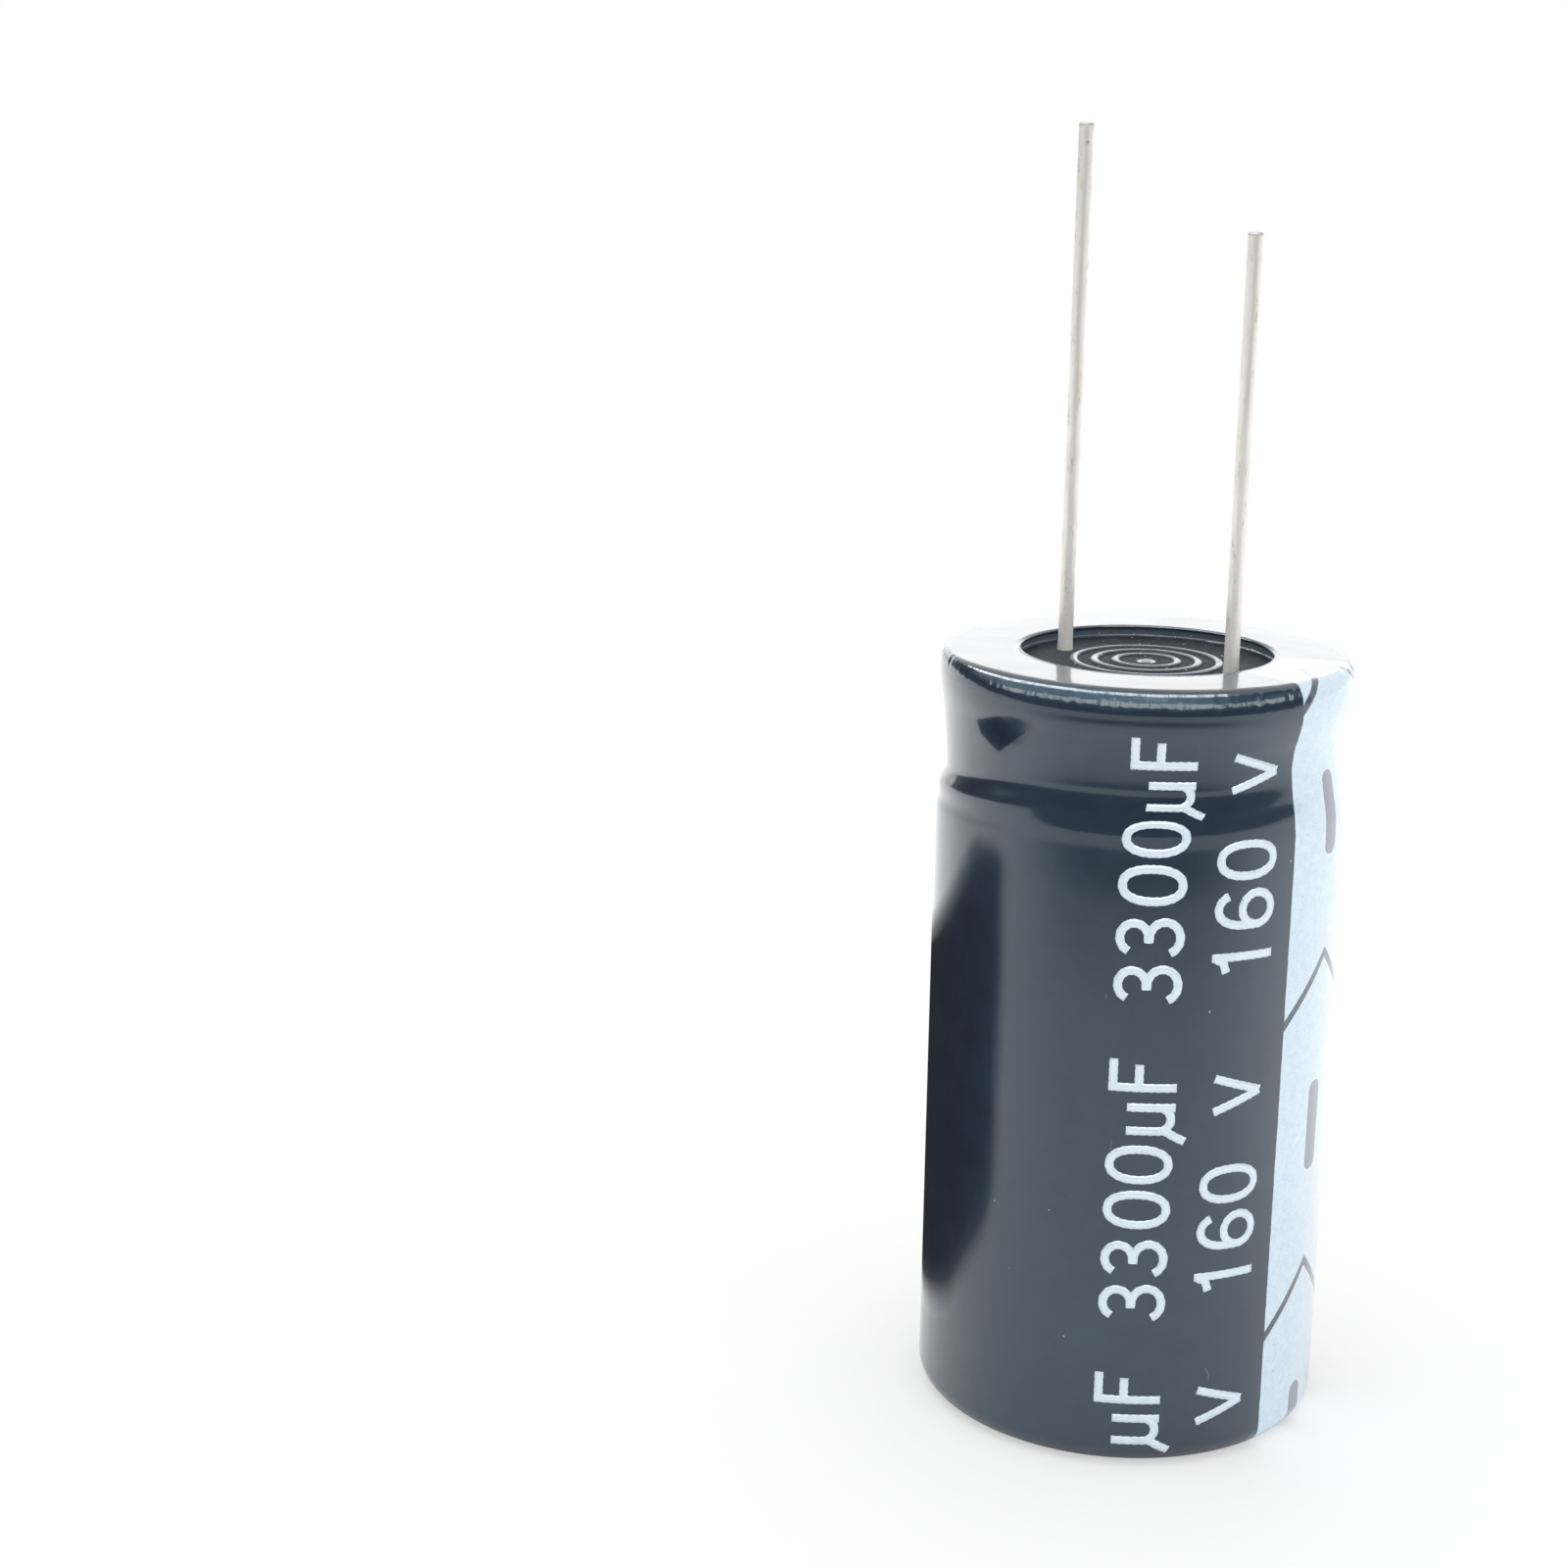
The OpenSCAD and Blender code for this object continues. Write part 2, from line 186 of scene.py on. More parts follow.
# The rubber's face: the radii of its ribs. Then the distances, from a rib's middle or from the
# axis, over which a rib's smooth top, the smooth middle and the pale dot fade out and the
# border's smooth foot fades in. The smooth parts are painted lighter as a highlight, and the
# pale dot is a painted highlight.
RIBS = (1.65, 2.75, 3.85)
RIB_TOP, MIDDLE_EDGE, DOT_HIGHLIGHT_EDGE, BORDER_FOOT = (0.23, 0.12), (0.55, 0.45), (0.38, 0.26), (6.78, 6.84)

# The roll's layers: the distance from one to the next, and where the foil between papers starts
LAYER_STEP, LAYER_EDGE = 0.22, (0.04, 0.15)

# The leads: how far from the middle, and the height of each tip. Then the azimuth of the dark
# line of painted reflection in radians, the heights between which that line starts, the dull root
# ends and the cut end starts below the tip, and the line's width in radians.
LEAD_X, LEAD_TIPS = 5.0, {-1: 69.15, 1: 63.95}
REFLECTION_LINE_SIDE, REFLECTION_LINE_START, ROOT_END, CUT_START = -0.95, (50, 58), (45.5, 42.5), (-0.2, -0.08)
REFLECTION_LINE_EDGE = (0.45, 0.05)


def srgb(*rgb):
    """A colour given in 0 to 255, as linear values."""
    def one(c):
        c = c / 255
        return c / 12.92 if c <= 0.04045 else ((c + 0.055) / 1.055) ** 2.4
    return tuple(one(c) for c in rgb) + (1.0,)


class Graph:
    """Builds the nodes of one material."""

    def __init__(self, name):
        self.mat = bpy.data.materials.new(name)
        self.mat.use_nodes = True
        self.tree = self.mat.node_tree
        self.shader = self.tree.nodes["Principled BSDF"]
        self.out = self.tree.nodes["Material Output"]

    def node(self, kind, settings=None, **inputs):
        """A new node. An input goes by its name, or as i0, i1 and so on by its place."""
        n = self.tree.nodes.new("ShaderNode" + kind)
        for key, value in (settings or {}).items():
            setattr(n, key, value)
        for key, value in inputs.items():
            socket = n.inputs[int(key[1:])] if key[0] == "i" and key[1:].isdigit() else n.inputs[key]
            self.feed(socket, value)
        return n

    def feed(self, socket, value):
        """Links a socket, or sets it to a number or a colour."""
        if isinstance(value, bpy.types.NodeSocket):
            self.tree.links.new(value, socket)
        elif hasattr(socket.default_value, "__len__") and not hasattr(value, "__len__"):
            socket.default_value = [value] * len(socket.default_value)
        else:
            socket.default_value = value

    def math(self, op, a, b=0.0):
        return self.node("Math", {"operation": op}, i0=a, i1=b).outputs[0]

    def plus(self, a, b):
        return self.math("ADD", a, b)

    def minus(self, a, b):
        return self.math("SUBTRACT", a, b)

    def times(self, a, b):
        return self.math("MULTIPLY", a, b)

    def larger(self, a, b):
        return self.math("MAXIMUM", a, b)

    def size(self, a):
        return self.math("ABSOLUTE", a)

    def length(self, a, b):
        """The length of the arrow (a, b)."""
        return self.math("SQRT", self.plus(self.times(a, a), self.times(b, b)))

    def band(self, value, low, high):
        """0 below low, 1 above high, smooth between. low may be above high."""
        n = self.node("MapRange", {"interpolation_type": "SMOOTHSTEP"}, Value=value)
        n.inputs["From Min"].default_value = low
        n.inputs["From Max"].default_value = high
        return n.outputs["Result"]

    def place(self):
        """Position on the object, in millimetres."""
        coords = self.node("TexCoord").outputs["Object"]
        return self.node("VectorMath", {"operation": "SCALE"}, Vector=coords, Scale=1 / MM).outputs[0]

    def axes(self, vector):
        return self.node("SeparateXYZ", None, Vector=vector).outputs

    def stretch(self, vector, *scale):
        return self.node("VectorMath", {"operation": "MULTIPLY"}, i0=vector, i1=scale).outputs[0]

    def noise(self, vector, scale, detail, rough, seed):
        """Soft clouds. scale is their number to a unit of the vector, and detail adds finer ones."""
        n = self.node("TexNoise", {"noise_dimensions": "4D"}, Vector=vector, Scale=scale,
                      Detail=detail, Roughness=rough, W=seed)
        return n.outputs["Fac"]

    def mix(self, fac, a, b):
        """From colour a to colour b."""
        n = self.node("Mix", {"data_type": "RGBA"})
        self.feed(n.inputs["Factor"], fac)
        self.feed(n.inputs["A"], a)
        self.feed(n.inputs["B"], b)
        return n.outputs["Result"]

    def blend(self, fac, a, b):
        """From number a to number b."""
        n = self.node("Mix", {"data_type": "FLOAT"})
        self.feed(n.inputs["Factor"], fac)
        self.feed(n.inputs["A"], a)
        self.feed(n.inputs["B"], b)
        return n.outputs["Result"]

    def bump(self, height, strength, distance, under=None):
        """A relief of this height, whose distance is in metres, over another one."""
        n = self.node("Bump", None, Height=height, Strength=strength, Distance=distance)
        if under is not None:
            self.feed(n.inputs["Normal"], under)
        return n.outputs["Normal"]

    def specks(self, vector, scale, size, share, seed):
        """Small round dots in a share of a cell pattern's cells."""
        moved = self.node("VectorMath", {"operation": "ADD"}, i0=vector, i1=(seed, seed * 0.7, seed * 0.3))
        cells = self.node("TexVoronoi", None, Vector=moved.outputs[0], Scale=scale)
        dot = self.band(cells.outputs["Distance"], size, size * 0.5)
        pick = self.node("SeparateColor", None, Color=cells.outputs["Color"])
        chosen = self.math("LESS_THAN", pick.outputs[0], share)
        return self.times(dot, chosen)

    def scratches(self, vector, scale, width, cover, seed):
        """Thin curved lines, broken up by a second pattern."""
        ridge = self.size(self.minus(self.noise(vector, scale, 1, 0.4, seed), 0.5))
        line = self.band(ridge, width, width * 0.3)
        patch = self.band(self.noise(vector, scale * 1.7, 1, 0.5, seed + 9), 1 - cover, 1.06 - cover)
        return self.times(line, patch)

    def set(self, **values):
        """Feeds the shader's sockets and gives the material."""
        for key, value in values.items():
            self.feed(self.shader.inputs[key.replace("_", " ")], value)
        return self.mat


# The film's shape

def hermite(t, h, y0, m0, y1, m1):
    """The cubic from y0 to y1 over a step of h, with the slopes m0 and m1 at its ends."""
    return ((2 * t**3 - 3 * t**2 + 1) * y0 + (t**3 - 2 * t**2 + t) * h * m0
            + (3 * t**2 - 2 * t**3) * y1 + (t**3 - t**2) * h * m1)


def smooth_step(value, start, end):
    """0 at start, 1 at end, smooth between and level beyond. start may be above end."""
    t = np.clip((value - start) / (end - start), 0, 1)
    return t * t * (3 - 2 * t)


def around(table, azimuth):
    """Smooth values between the keyed azimuths of a table, round the full turn."""
    keys = sorted(table)
    rows = np.array([flat(table[k]) for k in keys])
    keys = np.array(keys + [keys[0] + 360], float)
    rows = np.vstack([rows, rows[:1]])
    gaps = keys[1:] - keys[:-1]
    slopes = np.array([(rows[(k + 1) % len(gaps)] - rows[k - 1]) / (gaps[k] + gaps[k - 1])
                       for k in range(len(gaps))])
    slopes = np.vstack([slopes, slopes[:1]])
    a = (np.asarray(azimuth) - keys[0]) % 360 + keys[0]
    i = np.clip(np.searchsorted(keys, a, side="right") - 1, 0, len(keys) - 2)
    t = (a - keys[i]) / gaps[i]
    return hermite(t[:, None], gaps[i][:, None], rows[i], slopes[i], rows[i + 1], slopes[i + 1])


def flat(entry):
    """The numbers of a table's entry in one list."""
    return [x for part in entry for x in (part if isinstance(part, tuple) else (part,))]


def monotone(x, y, at):
    """A curve through the points (x, y) that makes no waves of its own, read at the places at."""
    rise = np.diff(y) / np.diff(x)
    before, after = rise[:-1], rise[1:]
    mean = 2 * after * before / (after + before + TINY)
    slopes = np.concatenate([[0.0], np.where(after * before > 0, mean, 0.0), [rise[-1]]])
    i = np.clip(np.searchsorted(x, at, side="right") - 1, 0, len(x) - 2)
    gap = x[i + 1] - x[i]
    return hermite((at - x[i]) / gap, gap, y[i], slopes[i], y[i + 1], slopes[i + 1])


def ripple(azimuth, counts, size, seed):
    """Small waves round the film: a sum of sines that closes on itself."""
    rng = np.random.default_rng(seed)
    a = np.asarray(azimuth) * DEG
    return size * sum(np.sin(n * a + rng.uniform(0, 2 * math.pi)) * rng.uniform(0.4, 1) for n in counts)


def bend(before, corner, after, radius, count):
    """Points of a rounded corner between two straight parts."""
    before, corner, after = (np.array(p, float) for p in (before, corner, after))
    into, out = corner - before, after - corner
    reach = min(radius, CORNER_SHARE * np.hypot(*into), CORNER_SHARE * np.hypot(*out))
    start = corner - into / np.hypot(*into) * reach
    end = corner + out / np.hypot(*out) * reach
    t = np.linspace(0, 1, count)[:, None]
    return (1 - t) ** 2 * start + 2 * t * (1 - t) * corner + t**2 * end


def film_outline(neck, rim, sag):
    """One column of the film: (radius, height) from the ring's hole at the foot to the lip's hole."""
    leave, points = neck[0], neck[1:].reshape(-1, 2)
    reach, (low, mid, top) = rim[0], rim[1:].reshape(-1, 2)[::-1]
    top = top + sag
    ring = np.linspace(RING_R, CASE_R - FOOT_R, RING_ROWS)
    foot = np.linspace(-90, 0, FOOT_ROWS + 1)[1:] * DEG
    wall = np.linspace(FOOT_R, leave, WALL_ROWS + 1)[1:]
    z = np.concatenate([[leave], points[:, 1], [low[1], mid[1]]])
    r = np.concatenate([[CASE_R], points[:, 0], [low[0], mid[0]]])
    rise = np.linspace(leave, mid[1], NECK_ROWS + 1)[1:]
    upper = bend(mid, top, (reach, CASE_H), CORNER_R, BEND_ROWS)
    edge = bend(top, (reach, CASE_H), (LIP_R, CASE_H), CORNER_R, BEND_ROWS)
    lip = np.linspace(edge[-1][0], LIP_R, LIP_ROWS + 1)[1:]
    dip = LIP_DIP * np.linspace(0, 1, len(lip)) ** 2
    radii = np.concatenate([ring, CASE_R - FOOT_R + FOOT_R * np.cos(foot), np.full(len(wall), CASE_R),
                            monotone(z, r, rise), upper[:, 0], edge[:, 0], lip])
    heights = np.concatenate([np.zeros(len(ring)), FOOT_R + FOOT_R * np.sin(foot), wall, rise,
                              upper[:, 1], edge[:, 1], CASE_H - dip])
    return np.minimum(radii, CASE_R), np.clip(heights, 0, CASE_H)


def film_grid():
    """Radius, height and length along the outline for every column and row of the film."""
    azimuth = np.arange(COLUMNS) * 360 / COLUMNS - 180
    neck, rim = around(NECK, azimuth), around(RIM, azimuth)
    pleats, sway = ripple(azimuth, *PLEATS), ripple(azimuth, *SWAY)
    sags = np.stack([SWAY_OUTWARD * sway - RIM_INSET, pleats + sway], axis=1)
    columns = [film_outline(*shape) for shape in zip(neck, rim, sags)]
    r = np.array([c[0] for c in columns])
    z = np.array([c[1] for c in columns])
    steps = np.hypot(np.diff(r, axis=1), np.diff(z, axis=1))
    start = FOOT_R * (1 - math.pi / 2) - (CASE_R - FOOT_R - RING_R)
    s = start + np.concatenate([np.zeros((COLUMNS, 1)), np.cumsum(steps, axis=1)], axis=1)
    return azimuth, r, z, s + SHRINK_BY * smooth_step(s, SHRINK_AT, SHRINK_TO)


def outward(r, z):
    """The outward normal's (radial, upward) parts along each column of the film."""
    dr, dz = np.gradient(r, axis=1), np.gradient(z, axis=1)
    size = np.hypot(dr, dz)
    return dz / size, -dr / size


def spun(r, z, azimuth):
    """Points at these radii, heights and azimuths."""
    a = azimuth * DEG
    return np.stack([r * np.cos(a), r * np.sin(a), z], axis=-1)


def add_mesh(name, points, faces, smooth=True):
    """A new object from points in millimetres."""
    mesh = bpy.data.meshes.new(name)
    mesh.from_pydata([tuple(p) for p in np.asarray(points) * MM], [], faces)
    mesh.validate()
    mesh.polygons.foreach_set("use_smooth", [smooth] * len(mesh.polygons))
    mesh.update()
    obj = bpy.data.objects.new(name, mesh)
    bpy.context.scene.collection.objects.link(obj)
    return obj


def film_skin(grid):
    """The film as one closed shell: its outside, its inside, and the two cut edges."""
    azimuth, r, z, s = grid
    out, up = outward(r, z)
    inner = list(range(0, r.shape[1] - 1, INNER_STEP)) + [r.shape[1] - 1]
    order = [(i, 0.0) for i in range(r.shape[1])] + [(i, FILM) for i in reversed(inner)]
    rows = np.array([i for i, _ in order])
    depth = np.array([d for _, d in order])
    radii = r[:, rows] - out[:, rows] * depth
    heights = np.maximum(z[:, rows] - up[:, rows] * depth, 0)
    points = spun(radii, heights, azimuth[:, None]).reshape(-1, 3)
    n = len(rows)
    faces = []
    for i in range(COLUMNS):
        j = (i + 1) % COLUMNS
        faces += [(i * n + k, j * n + k, j * n + (k + 1) % n, i * n + (k + 1) % n) for k in range(n)]
    skin = add_mesh("sleeve_skin", points, faces)
    along = skin.data.attributes.new("along", "FLOAT", "POINT")
    along.data.foreach_set("value", s[:, rows].astype(np.float32).ravel())
    return skin


class Wrap:
    """Finds the place on the film for a point of the flat print."""

    def __init__(self, grid):
        self.azimuth, self.r, self.z, self.s = grid
        self.out, self.up = outward(self.r, self.z)

    def at(self, azimuth, along, lift):
        """The point at an azimuth and a length along the film, lifted off it along its normal."""
        x = ((azimuth - self.azimuth[0]) % 360) * COLUMNS / 360
        i, t = int(x) % COLUMNS, x - int(x)
        j = (i + 1) % COLUMNS

        def read(values):
            return ((1 - t) * np.interp(along, self.s[i], values[i])
                    + t * np.interp(along, self.s[j], values[j]))

        r = read(self.r) + lift * read(self.out)
        z = read(self.z) + lift * read(self.up)
        return (r * math.cos(azimuth * DEG), r * math.sin(azimuth * DEG), z)


# The print

def resampled(path, step=STROKE_STEP):
    """The path with points at even distances."""
    path = np.array(path, float)
    length = np.concatenate([[0], np.cumsum(np.hypot(*np.diff(path, axis=0).T))])
    n = max(2, int(math.ceil(length[-1] / step)) + 1)
    at = np.linspace(0, length[-1], n)
    return np.stack([np.interp(at, length, path[:, 0]), np.interp(at, length, path[:, 1])], axis=1)


def oval(cx, cy, rx, ry, start=0, end=360, power=2.0, n=48):
    """Part of an oval. A power above 2 makes it squarer."""
    a = np.linspace(start, end, n) * DEG
    c, s = np.cos(a), np.sin(a)
    return np.stack([cx + rx * np.sign(c) * abs(c) ** (2 / power),
                     cy + ry * np.sign(s) * abs(s) ** (2 / power)], axis=1)


def glyphs():
    """Each sign as strokes in a box that starts at 0, 0: (path, closed)."""
    h, w = SIGN_H, STROKE / 2
    upper = [*oval(1.0, 2.56, 0.76, 0.72, 158, -90), (0.74, 1.84)]
    lower = [(0.74, 1.80), *oval(1.0, 1.01, 0.85, 0.79, 90, -158)]
    return {
        "3": [(upper, False), (lower, False)],
        "0": [(oval(1.06, h / 2, 0.84, h / 2 - w, power=2.3), True)],
        "1": [([(1.12, 0), (1.12, h)], False), ([(1.12, h - 0.12), (0.86, 2.86), (0.3, 2.68)], False)],
        "6": [(oval(1.06, 1.08, 0.84, 0.86), True),
              ([*oval(1.10, 1.75, 0.88, h / 2 - w, 38, 180, power=2.2), (0.22, 1.1)], False)],
        "mu": [([(w, 2.5), (w, 0.5), (-0.08, 0.0), (-0.36, -0.55)], False),
               ([(w, 1.3), *oval(0.86, 0.86, 0.64, 0.64, 180, 360), (1.50, 1.2)], False),
               ([(1.50, 2.5), (1.50, 0.0)], False)],
        "F": [([(w, 0), (w, h)], False), ([(w, h - w), (1.75, h - w)], False),
              ([(w, 1.95), (1.48, 1.95)], False)],
        "V": [([(0.18, 2.95), (1.1, w)], False), ([(1.1, w), (2.02, 2.95)], False)],
    }


def ribbon(path, closed, wrap, place):
    """A closed, thin band of ink along a path, laid on the film."""
    path = resampled(path)
    if closed:
        path = path[:-1]
        ahead, behind = np.roll(path, -1, axis=0), np.roll(path, 1, axis=0)
    else:
        ahead, behind = np.vstack([path[1:], path[-1:]]), np.vstack([path[:1], path[:-1]])
    along = ahead - behind
    along /= np.hypot(*along.T)[:, None]
    ragged = 1 + RAGGED * np.sin(np.arange(len(path)) * RAGGED_TURN + path[0, 0] * RAGGED_SHIFT)[:, None]
    side = np.stack([-along[:, 1], along[:, 0]], axis=1) * STROKE / 2 * ragged
    points = []
    for p, q in zip(path, side):
        for lift in (INK_T, -INK_SUNK):
            for k in (1, 0, -1):
                edge = INK_EDGE if k and lift > 0 else 1
                points.append(wrap.at(*place(*(p + k * q)), lift * edge))
    loop = (0, 1, 2, 5, 4, 3)
    n, m = len(path), len(loop)
    faces = []
    for i in range(n if closed else n - 1):
        j = (i + 1) % n
        for k in range(m):
            a, b = loop[k], loop[(k + 1) % m]
            faces.append((i * m + a, j * m + a, j * m + b, i * m + b))
    if not closed:
        faces += [tuple(loop[::-1]), tuple((n - 1) * m + k for k in loop)]
    return points, faces


def line_of_print(name, row_signs, base, first, wrap):
    """One line that reads upwards: row_signs are (sign, start along the line)."""
    shapes = glyphs()
    points, faces = [], []
    for sign, start in row_signs:
        def place(u, v, start=start):
            along = first + start + u
            turn = TWIST * min(max((along - SHRINK_AT) / (SHRINK_TO - SHRINK_AT), 0), 1)
            return base + turn - v / (CASE_R * DEG), along

        for path, closed in shapes[sign]:
            new_points, new_faces = ribbon(path, closed, wrap, place)
            faces += [tuple(i + len(points) for i in face) for face in new_faces]
            points += new_points
    return add_mesh(name, points, faces)


# Materials

def ink_colour(g, at):
    """Pale ink, a little mottled, with pinholes."""
    cloud = g.noise(at, 2.2, 3, 0.6, 2.0)
    grain = g.noise(at, 9.0, 2, 0.7, 4.0)
    pale = g.mix(g.band(cloud, 0.35, 0.65), srgb(205, 222, 236), srgb(214, 230, 242))
    pale = g.mix(g.times(g.band(grain, 0.50, 0.68), 0.45), pale, srgb(170, 190, 208))
    return g.mix(g.specks(at, 4.2, 0.16, 0.06, 3.0), pale, srgb(96, 108, 122))


def film_finish(g, at, colour, smooth):
    """Gloss, dust, a few scratches and the small unevenness of shrunk film."""
    wear = g.scratches(at, 0.25, 0.0022, 0.30, 11.0)
    dust = g.specks(at, 0.9, 0.07, 0.07, 5.0)
    lint = g.specks(g.stretch(at, 1.0, 1.0, 0.4), 0.7, 0.09, 0.03, 13.0)
    marks = g.larger(g.larger(g.times(wear, 0.25), dust), lint)
    colour = g.mix(g.times(marks, 0.7), colour, srgb(196, 204, 212))
    haze = g.noise(at, 0.22, 3, 0.6, 21.0)
    rough = g.plus(g.blend(haze, smooth, smooth + 0.06), g.times(marks, 0.35))
    pull = g.noise(g.stretch(at, 0.30, 0.30, 0.08), 1.0, 2, 0.5, 31.0)
    normal = g.bump(pull, 0.15, 0.0003)
    normal = g.bump(g.noise(at, 4.0, 3, 0.6, 33.0), 0.05, 0.00003, normal)
    g.feed(g.shader.inputs["Coat Normal"], normal)
    return g.set(Base_Color=colour, Roughness=rough, Normal=normal, IOR=1.55,
                 Specular_Tint=(0.55, 0.82, 1.0, 1.0), Coat_Weight=1.0, Coat_Roughness=0.07,
                 Coat_IOR=1.5)


def stripe_mask(g, x):
    """The pale stripe up the negative side."""
    off = g.size(g.minus(x, STRIPE_MID))
    return g.band(off, STRIPE_HALF + PRINT_SOFT, STRIPE_HALF - PRINT_SOFT)


def chevron_mask(g, x, s):
    """The thin lines of the arrows on the stripe."""
    slant = g.times(g.size(g.minus(x, CHEVRON_MID)), CHEVRON_SLOPE)
    v = g.minus(g.plus(s, slant), CHEVRON_TIP - PERIOD / 2)
    v = g.size(g.minus(g.math("FLOORED_MODULO", v, PERIOD), PERIOD / 2))
    v = g.times(v, 1 / math.hypot(1, CHEVRON_SLOPE))
    return g.band(v, CHEVRON_HALF + PRINT_SOFT, CHEVRON_HALF - PRINT_SOFT)


def bar_mask(g, x, s):
    """The round-ended minus bars on the stripe."""
    across = g.size(g.minus(x, BAR_MID))
    across = g.larger(g.minus(across, BAR_HALF_W - BAR_ROUND), 0)
    along = g.math("FLOORED_MODULO", g.minus(s, BAR_AT - PERIOD / 2), PERIOD)
    along = g.size(g.minus(along, PERIOD / 2))
    along = g.larger(g.minus(along, BAR_HALF_L - BAR_ROUND), 0)
    return g.band(g.length(across, along), BAR_ROUND + PRINT_SOFT, BAR_ROUND - PRINT_SOFT)


def film_material():
    """Near black film with the printed stripe."""
    g = Graph("film")
    at = g.place()
    xyz = g.axes(at)
    wave = g.times(g.minus(g.noise(at, 1.4, 2, 0.5, 51.0), 0.5), 0.09)
    x = g.plus(g.times(g.math("ARCTAN2", xyz[1], xyz[0]), CASE_R), wave)
    s = g.node("Attribute", {"attribute_name": "along"}).outputs["Fac"]
    cloud = g.band(g.noise(at, 0.5, 3, 0.6, 41.0), 0.3, 0.7)
    black = g.mix(cloud, srgb(27, 37, 52), srgb(33, 44, 60))
    ink = g.mix(bar_mask(g, x, s), ink_colour(g, at), srgb(118, 122, 140))
    ink = g.mix(chevron_mask(g, x, s), ink, srgb(60, 68, 82))
    return film_finish(g, at, g.mix(stripe_mask(g, x), black, ink), 0.26)


def ink_material():
    """The ink of the signs, a little whiter than the stripe."""
    g = Graph("ink")
    at = g.place()
    return film_finish(g, at, g.mix(0.3, ink_colour(g, at), srgb(248, 251, 254)), 0.28)


def rubber_material():
    """Matt rubber; the moulded ribs' tops and the border's foot are smooth, with painted highlight."""
    g = Graph("rubber")
    at = g.place()
    xyz = g.axes(at)
    r = g.length(xyz[0], xyz[1])
    smooth = g.band(r, *MIDDLE_EDGE)
    for rib in RIBS:
        smooth = g.larger(smooth, g.band(g.size(g.minus(r, rib)), *RIB_TOP))
    smooth = g.larger(smooth, g.band(r, *BORDER_FOOT))
    # Patches of wear break up the smooth parts, and with them the painted highlight on them.
    wear_and_highlight_patches = g.band(g.noise(at, 1.6, 3, 0.6, 15.0), 0.22, 0.45)
    smooth = g.times(smooth, wear_and_highlight_patches)
    grain = g.noise(at, 6.0, 4, 0.65, 3.0)
    bloom = g.band(g.noise(at, 0.7, 3, 0.6, 8.0), 0.45, 0.75)
    patch = g.noise(at, 2.4, 3, 0.7, 23.0)
    colour = g.mix(grain, srgb(10, 18, 28), srgb(28, 40, 54))
    colour = g.mix(g.times(g.band(patch, 0.5, 0.75), 0.35), colour, srgb(72, 88, 104))
    colour = g.mix(g.times(bloom, 0.2), colour, srgb(84, 98, 114))
    # Painted highlight: the smooth rib tops, the middle and the border's foot are painted lighter.
    colour = g.mix(g.times(smooth, 0.5), colour, srgb(132, 148, 164))
    # Painted highlight: the pale dot in the middle of the face.
    colour = g.mix(g.times(g.band(r, *DOT_HIGHLIGHT_EDGE), 0.7), colour, srgb(196, 206, 214))
    dust = g.larger(g.specks(at, 1.6, 0.15, 0.16, 2.0), g.specks(at, 3.4, 0.2, 0.12, 6.0))
    colour = g.mix(g.times(dust, 0.9), colour, srgb(206, 210, 214))
    dull = g.blend(patch, 0.78, 0.54)
    rough = g.plus(g.blend(smooth, dull, 0.14), g.times(dust, 0.1))
    normal = g.bump(grain, 0.25, 0.00003)
    normal = g.bump(dust, 0.6, 0.00004, normal)
    return g.set(Base_Color=colour, Roughness=rough, Normal=normal, Specular_IOR_Level=0.24,
                 Coat_Weight=g.times(smooth, 0.45), Coat_Roughness=0.1, Coat_IOR=1.7)


def wire_material(side):
    """Tinned wire, drawn along its length: dark marks, a long faint painted reflection and a dull root."""
    g = Graph("tinned_wire_" + ("plus" if side < 0 else "minus"))
    at = g.place()
    xyz = g.axes(at)
    height = xyz[2]
    drawn = g.noise(g.stretch(at, 9.0, 9.0, 0.35), 1.0, 3, 0.6, 4.0)
    cloud = g.noise(g.stretch(at, 1.0, 1.0, 0.45), 1.3, 3, 0.6, 7.0)
    colour = g.mix(drawn, srgb(226, 223, 217), srgb(246, 244, 240))
    colour = g.mix(g.times(g.band(cloud, 0.45, 0.7), 0.35), colour, srgb(216, 208, 194))
    # Painted reflection: a faint dark line down the side of the wire that faces the camera.
    turn = g.math("ARCTAN2", xyz[1], g.minus(xyz[0], side * LEAD_X))
    sway = g.noise(g.stretch(at, 0.0, 0.0, 0.14), 1.0, 3, 0.6, 17.0 + side)
    line = g.plus(g.minus(turn, REFLECTION_LINE_SIDE), g.minus(sway, 0.5))
    reflection_line = g.band(g.size(line), *REFLECTION_LINE_EDGE)
    reflection_line = g.times(reflection_line, g.band(height, *REFLECTION_LINE_START))
    nicks = g.specks(g.stretch(at, 1.0, 1.0, 0.7), 1.1, 0.15, 0.16, 4.0 + side)
    streaks = g.band(g.noise(g.stretch(at, 3.2, 3.2, 0.7), 1.0, 4, 0.7, 27.0 + side), 0.54, 0.70)
    cut = g.band(height, *(LEAD_TIPS[side] + start for start in CUT_START))
    marks = g.larger(g.times(reflection_line, 0.25), g.times(nicks, 0.7))
    marks = g.larger(marks, g.times(streaks, 0.45))
    marks = g.larger(marks, g.times(cut, 0.6))
    # The marks darken the wire: the dark line among them is painted reflection, the rest are real marks.
    colour = g.mix(marks, colour, srgb(116, 106, 98))
    root = g.band(height, *ROOT_END)
    metallic = g.blend(root, 0.5, 0.12)
    rough = g.plus(g.blend(cloud, 0.24, 0.4), g.times(marks, 0.2))
    normal = g.bump(drawn, 0.2, 0.00001)
    normal = g.bump(g.noise(at, 2.6, 2, 0.5, 12.0), 0.08, 0.00003, normal)
    return g.set(Base_Color=colour, Metallic=metallic, Roughness=rough, Normal=normal)


